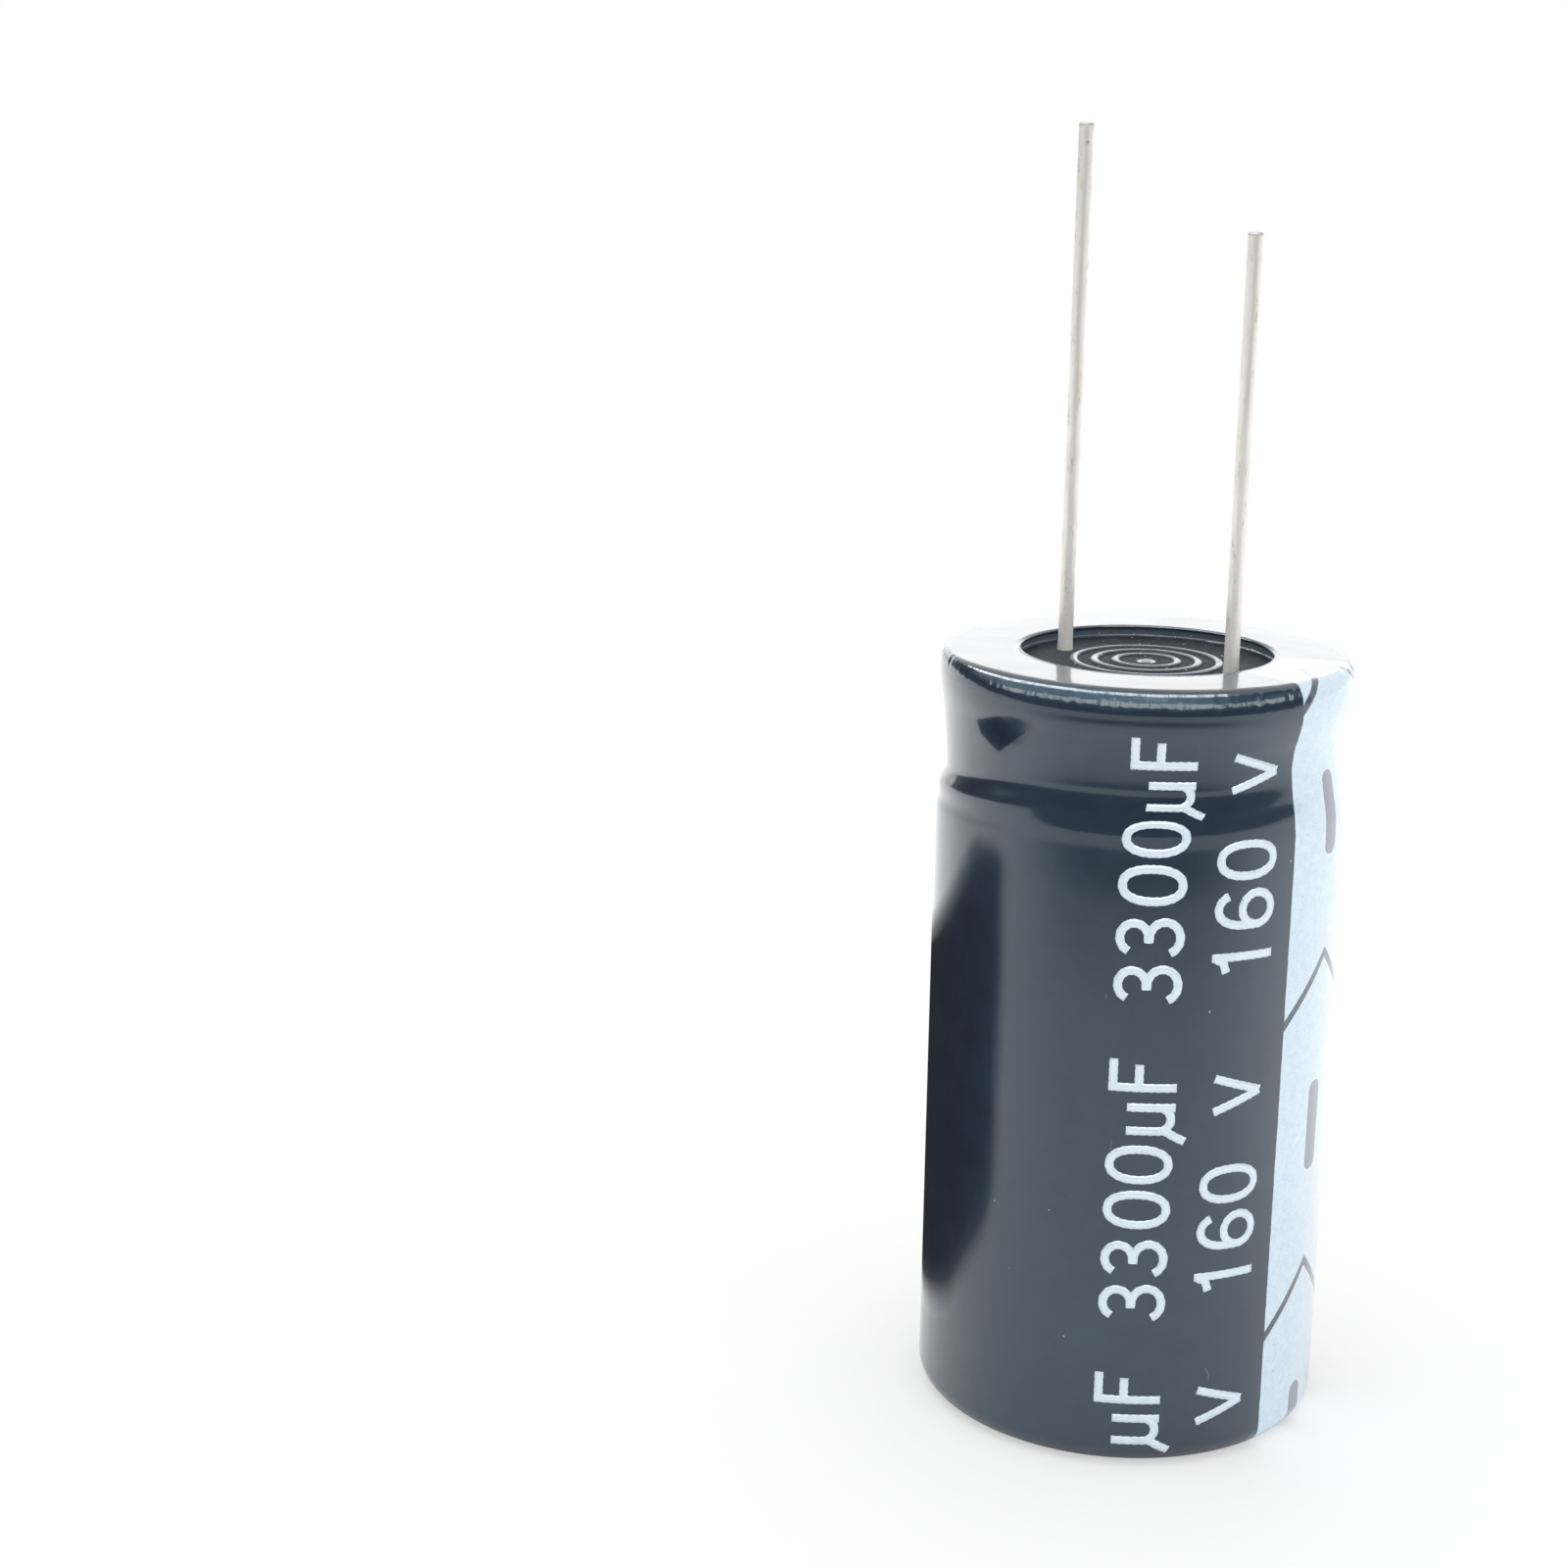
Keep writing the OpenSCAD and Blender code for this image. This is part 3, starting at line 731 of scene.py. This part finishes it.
def aluminium_material(name, bright, dull, rough_low, rough_high):
    """Drawn or pressed aluminium, with fine circular marks."""
    g = Graph(name)
    at = g.place()
    fine = g.noise(g.stretch(at, 2.0, 2.0, 14.0), 1.0, 4, 0.7, 2.0)
    cloud = g.noise(at, 0.6, 3, 0.6, 5.0)
    colour = g.mix(g.band(cloud, 0.3, 0.7), bright, dull)
    wear = g.scratches(at, 0.8, 0.006, 0.5, 3.0)
    colour = g.mix(g.times(wear, 0.5), colour, srgb(236, 238, 240))
    rough = g.blend(fine, rough_low, rough_high)
    normal = g.bump(fine, 0.2, 0.00003)
    normal = g.bump(wear, 0.3, 0.00002, normal)
    return g.set(Base_Color=colour, Metallic=1.0, Roughness=rough, Normal=normal)


def roll_material():
    """Paper and foil turns: fine lines up the side and round the ends."""
    g = Graph("wound_paper")
    at = g.place()
    xyz = g.axes(at)
    layers = g.band(g.math("FLOORED_MODULO", g.length(xyz[0], xyz[1]), LAYER_STEP), *LAYER_EDGE)
    fibre = g.noise(g.stretch(at, 1.0, 1.0, 4.0), 2.4, 4, 0.7, 6.0)
    wet = g.band(g.noise(at, 0.25, 2, 0.5, 9.0), 0.4, 0.65)
    colour = g.mix(fibre, srgb(176, 150, 112), srgb(206, 184, 146))
    colour = g.mix(g.times(wet, 0.4), colour, srgb(140, 112, 76))
    colour = g.mix(g.times(layers, 0.35), colour, srgb(188, 190, 190))
    normal = g.bump(g.plus(fibre, layers), 0.4, 0.00005)
    return g.set(Base_Color=colour, Roughness=g.blend(wet, 0.75, 0.45), Normal=normal)


def tape_material():
    """Brown glossy tape."""
    g = Graph("tape")
    at = g.place()
    weave = g.noise(g.stretch(at, 1.0, 1.0, 3.0), 3.0, 3, 0.6, 6.0)
    edge = g.noise(at, 0.5, 2, 0.5, 3.0)
    colour = g.mix(weave, srgb(196, 146, 58), srgb(222, 178, 92))
    colour = g.mix(g.times(g.band(edge, 0.5, 0.7), 0.3), colour, srgb(168, 120, 44))
    return g.set(Base_Color=colour, Roughness=g.blend(edge, 0.3, 0.45),
                 Normal=g.bump(weave, 0.3, 0.00004))


def paint(node, material):
    """Gives a CAD node's object its looks."""
    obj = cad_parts[node]
    obj.data.materials.clear()
    obj.data.materials.append(material)


# The studio

def turned(azimuth, height_angle):
    """The unit direction at an azimuth and an angle above the horizontal, in degrees."""
    a, h = azimuth * DEG, height_angle * DEG
    return np.array([math.cos(h) * math.cos(a), math.cos(h) * math.sin(a), math.sin(h)])


def seen_rays(tree):
    """1 for the rays that the camera, a mirror or glass sends out, and 1 for the mirror's alone."""
    path = tree.nodes.new("ShaderNodeLightPath").outputs
    seen = path["Is Camera Ray"]
    for ray in ("Is Glossy Ray", "Is Transmission Ray"):
        either = tree.nodes.new("ShaderNodeMath")
        either.operation = "MAXIMUM"
        tree.links.new(seen, either.inputs[0])
        tree.links.new(path[ray], either.inputs[1])
        seen = either.outputs[0]
    return seen, path["Is Glossy Ray"]


def floor_material():
    """Near white paper. Far from the object the camera sees plain white. What the film mirrors
    of it is bright at the sides and falls off towards the camera."""
    g = Graph("paper")
    at = g.place()
    grain = g.noise(at, 1.5, 3, 0.6, 1.0)
    g.set(Base_Color=g.mix(grain, srgb(252, 252, 252), srgb(254, 254, 254)), Roughness=0.7)
    far = g.node("VectorMath", {"operation": "LENGTH"}, Vector=at).outputs["Value"]
    seen, glossy = seen_rays(g.tree)
    front = g.node("VectorMath", {"operation": "DOT_PRODUCT"}, i0=at,
                   i1=tuple(turned(CAMERA_SIDE, 0))).outputs["Value"]
    front = g.math("DIVIDE", front, g.larger(far, 1.0))
    ahead = g.band(front, *AHEAD)
    ring = g.times(g.band(far, *RING_INNER), g.band(far, *RING_OUTER))
    dim = g.times(g.times(ahead, ring), RING_DIM)
    mirrored = g.minus(g.blend(ahead, FLOOR_SIDES, FLOOR_AHEAD), dim)
    white = g.node("Emission", None, Color=(1, 1, 1, 1), Strength=g.blend(glossy, 1.0, mirrored))
    plain = g.blend(g.band(far, *WHITE_FOR_CAMERA), WHITE_AT_FOOT, 1.0)
    away = g.blend(glossy, plain, g.band(far, *WHITE_FOR_MIRRORS))
    pick = g.node("MixShader", None, Fac=g.times(away, seen), i1=g.shader.outputs[0],
                  i2=white.outputs[0])
    g.tree.links.new(pick.outputs[0], g.out.inputs["Surface"])
    return g.mat


def softbox(name, at, aim, size, radiance, glossy):
    """A rectangular lamp of even brightness. at and aim are millimetres, size is (width, height)."""
    data = bpy.data.lights.new(name, "AREA")
    data.shape = "RECTANGLE"
    data.size, data.size_y = size[0] * MM, size[1] * MM
    data.energy = radiance * math.pi * data.size * data.size_y
    lamp = bpy.data.objects.new(name, data)
    bpy.context.scene.collection.objects.link(lamp)
    lamp.location = Vector(at) * MM
    lamp.rotation_euler = (Vector(aim) - Vector(at)).to_track_quat("-Z", "Y").to_euler()
    lamp.visible_camera = False
    lamp.visible_glossy = glossy


def reflection_card(name, points, faces, colour, strength=0.0, soft=None):
    """A card round the object that only reflections show. soft gives each point's share of
    plain white, for a card whose edges fade away."""
    card = add_mesh(name, points, faces, False)
    g = Graph(name)
    if soft is not None:
        card.data.attributes.new("soft", "FLOAT", "POINT").data.foreach_set("value", soft)
        share = g.node("Attribute", {"attribute_name": "soft"}).outputs["Fac"]
        strength = g.blend(share, strength, CARD_WHITE)
    g.set(Base_Color=colour, Roughness=1.0, Specular_IOR_Level=0.0, Emission_Color=(1, 1, 1, 1),
          Emission_Strength=strength)
    card.data.materials.append(g.mat)
    card.visible_camera = card.visible_diffuse = card.visible_shadow = False


def grid_faces(columns, rows):
    """Faces of a sheet whose points stand in columns."""
    return [(i * rows + k, i * rows + k + 1, (i + 1) * rows + k + 1, (i + 1) * rows + k)
            for i in range(columns - 1) for k in range(rows - 1)]


def dark_screen(columns=40):
    """A tall dark wall behind the camera and round both sides, which keeps the film dark."""
    points = []
    for azimuth in np.linspace(CAMERA_SIDE + SCREEN_FROM, CAMERA_SIDE + SCREEN_TO, columns):
        for z in (SCREEN_LOW, SCREEN_TOP):
            points.append(tuple(SCREEN_AT * turned(azimuth, 0) + np.array([0, 0, z])))
    reflection_card("screen", points, grid_faces(columns, 2), CARD_GREY)


def side_flag(columns=60, rows=24):
    """The low dark card at the left, which gives that side of the film its dark edge."""
    plan = np.array(SIDE_FLAG)
    at = np.linspace(0, len(plan) - 1, columns)
    shape = [np.interp(at, np.arange(len(plan)), plan[:, k]) for k in range(4)]
    points, soft = [], []
    for u, x, y, low, top in zip(np.linspace(0, 1, columns), *shape):
        for v in np.linspace(0, 1, rows):
            points.append((x, y, low + v * (top - low)))
            soft.append(max(smooth_step(u, FADE_END, 1), smooth_step(v, FADE_TOP, 1),
                            smooth_step(v, FADE_LOW, 0)))
    reflection_card("side_flag", points, grid_faces(columns, rows), CARD_GREY, CARD_GLOW, soft)


def waist_flag(wrap):
    """The small dark card close to the waist, set where the film mirrors it as WAIST_SPOT."""
    points = []
    for azimuth, along in resampled(WAIST_SPOT + WAIST_SPOT[:1], WAIST_STEP)[:-1]:
        at = np.array(wrap.at(azimuth, along, 0))
        normal = np.array(wrap.at(azimuth, along, 1)) - at
        seen = np.array(CAMERA_AT) - at
        seen /= np.linalg.norm(seen)
        points.append(tuple(at + (2 * seen.dot(normal) * normal - seen) * WAIST_GAP))
    reflection_card("waist_flag", points, [tuple(range(len(points)))], CARD_GREY)


def glint_strip(name, tilts, start, end, strength, seed):
    """A row of thin bright strips, placed where the rim's film at these tilts mirrors the camera."""
    seen = turned(CAMERA_SIDE, CAMERA_ABOVE_RIM)
    rng = np.random.default_rng(seed)
    points, faces = [], []
    azimuth = start
    while azimuth < end:
        wide = rng.uniform(*STRIP_PIECE)
        low, high = (tilt + rng.uniform(-STRIP_JITTER, STRIP_JITTER) for tilt in tilts)
        for turn, tilt in ((0, low), (wide, low), (wide, high), (0, high)):
            normal = turned(azimuth + turn, tilt)
            mirrored = 2 * seen.dot(normal) * normal - seen
            points.append(tuple(mirrored * STRIP_AT + np.array([0, 0, RIM_HEIGHT])))
        faces.append(tuple(range(len(points) - 4, len(points))))
        azimuth += wide + rng.uniform(*STRIP_SPACE)
    reflection_card(name, points, faces, CARD_BLACK, strength)


def paper_floor():
    """The sheet that the object stands on."""
    corners = [(-1, -1), (1, -1), (1, 1), (-1, 1)]
    points = [(x * FLOOR_HALF, y * FLOOR_HALF, -FLOOR_DROP) for x, y in corners]
    floor = add_mesh("floor", points, [(0, 1, 2, 3)], False)
    floor.data.materials.append(floor_material())


def world_light():
    """Even light from all round. What the camera and mirrors see of it is plain white."""
    world = bpy.data.worlds.new("studio")
    bpy.context.scene.world = world
    world.use_nodes = True
    nodes, links = world.node_tree.nodes, world.node_tree.links
    seen, _ = seen_rays(world.node_tree)
    level = nodes.new("ShaderNodeMapRange")
    level.inputs["To Min"].default_value = WORLD_LIGHT
    level.inputs["To Max"].default_value = 1.0
    links.new(seen, level.inputs["Value"])
    sky = nodes["Background"]
    sky.inputs["Color"].default_value = (1, 1, 1, 1)
    links.new(level.outputs["Result"], sky.inputs["Strength"])


def studio():
    """All that stands round the object."""
    paper_floor()
    for name, settings in LAMPS.items():
        softbox(name, *settings)
    dark_screen()
    side_flag()
    for name, settings in STRIPS.items():
        glint_strip(name, *settings)
    world_light()


def camera():
    """The photograph's view."""
    data = bpy.data.cameras.new("camera")
    data.lens, data.sensor_width = LENS, SENSOR
    data.clip_start, data.clip_end = CLIP_START * MM, CLIP_END * MM
    cam = bpy.data.objects.new("camera", data)
    bpy.context.scene.collection.objects.link(cam)
    cam.matrix_world = (Matrix.Translation(Vector(CAMERA_AT) * MM)
                        @ Matrix.Rotation(CAMERA_TURN * DEG, 4, "Z")
                        @ Matrix.Rotation(CAMERA_TILT * DEG, 4, "X")
                        @ Matrix.Rotation(CAMERA_ROLL * DEG, 4, "Z"))
    bpy.context.scene.camera = cam


# The object

def sleeve(grid):
    """The shrunk film, which stands for the plain CAD sleeve."""
    skin = film_skin(grid)
    skin.data.materials.append(film_material())
    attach(skin, "root")
    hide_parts("shrink_sleeve")


def signs(wrap):
    """Both rows of print, as often as the film's height shows them."""
    ink = ink_material()
    for k, turn in enumerate((-1, 0, 1)):
        first = turn * PERIOD
        for row, (azimuth, end, row_signs) in PRINT_ROWS.items():
            kept = [sign for sign in row_signs if PRINT_FROM < sign[1] + first < end]
            if kept:
                piece = line_of_print(f"print_{row}_{k}", kept, azimuth, first, wrap)
                piece.data.materials.append(ink)
                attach(piece, "root")


def solids():
    """The looks of the CAD nodes that stay."""
    can = aluminium_material("drawn_can", srgb(214, 216, 220), srgb(196, 199, 204), 0.22, 0.38)
    tab = aluminium_material("pressed_tab", srgb(206, 209, 213), srgb(182, 186, 192), 0.3, 0.48)
    looks = {
        "rubber_bung": rubber_material(),
        "positive_lead_wire": wire_material(-1),
        "negative_lead_wire": wire_material(1),
        "aluminium_can": can,
        "positive_tab": tab,
        "negative_tab": tab,
        "wound_element": roll_material(),
        "closing_tape": tape_material(),
    }
    for node, material in looks.items():
        paint(node, material)


def capacitor():
    """The object, and the one card that is placed by its film."""
    grid = film_grid()
    wrap = Wrap(grid)
    sleeve(grid)
    waist_flag(wrap)
    signs(wrap)
    solids()


bpy.context.scene.view_settings.view_transform = "Standard"
camera()
studio()
capacitor()
